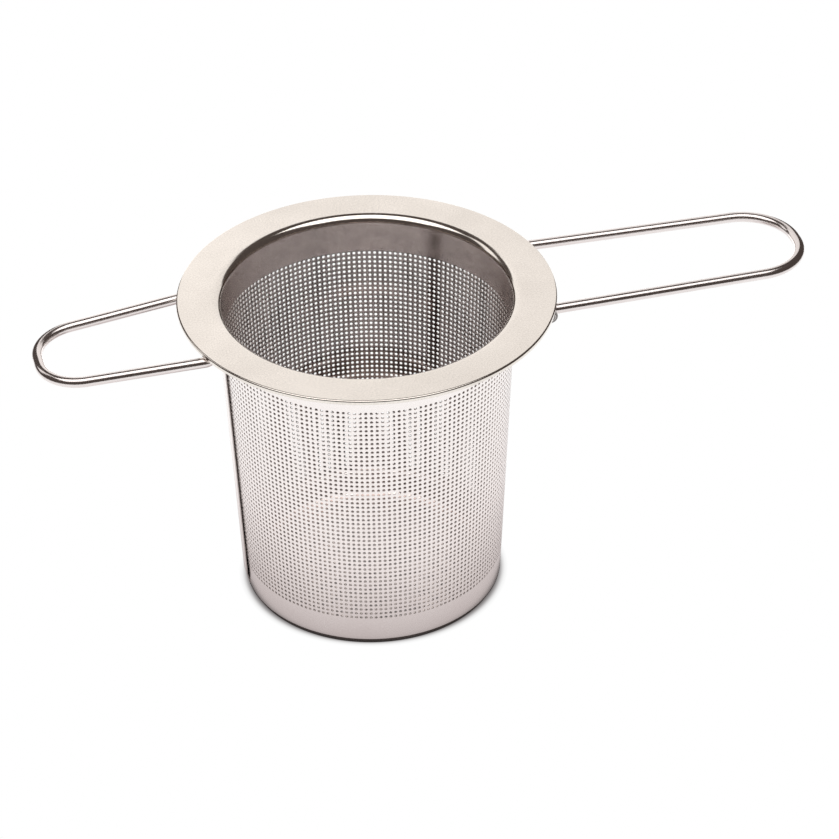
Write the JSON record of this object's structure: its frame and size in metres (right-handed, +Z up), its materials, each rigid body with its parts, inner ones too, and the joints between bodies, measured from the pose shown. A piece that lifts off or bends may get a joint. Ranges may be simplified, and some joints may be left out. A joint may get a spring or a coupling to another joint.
{
  "type": "tea infuser basket",
  "caption": "Tapered perforated steel basket that hangs in a mug by a flat rim, with folding wire handles of unequal length.",
  "frame": {"origin": "middle of the underside of the base, at floor level", "axes": "+Z up along the basket's axis, +X towards the long handle, -X towards the short handle and the wall's seam"},
  "size_m": [0.1884, 0.09, 0.0815],
  "materials": {
    "rim_steel": "satin on the rim, brushed in the neck",
    "mesh_steel": "fine satin, perforated",
    "base_steel": "fine satin, perforated",
    "wire_steel": "polished",
    "knuckle_steel": "dull, spot-welded"
  },
  "bodies": {
    "basket": {"rim_flange": "rim_steel", "mesh_wall": "mesh_steel", "base_cup": "base_steel", "long_handle_knuckle_front": "knuckle_steel", "long_handle_knuckle_rear": "knuckle_steel", "short_handle_knuckle_front": "knuckle_steel", "short_handle_knuckle_rear": "knuckle_steel"},
    "long_handle_body": {"long_handle": "wire_steel"},
    "short_handle_body": {"short_handle": "wire_steel"}
  },
  "joints": [
    {"name": "long_handle_hinge", "type": "hinge", "parent": "basket", "child": "long_handle_body", "pos_m": [0.0402, 0, 0.0787], "axis": [0, 1, 0], "range_deg": [-8, 95]},
    {"name": "short_handle_hinge", "type": "hinge", "parent": "basket", "child": "short_handle_body", "pos_m": [-0.0402, 0, 0.0787], "axis": [0, -1, 0], "range_deg": [-12, 93]}
  ]
}
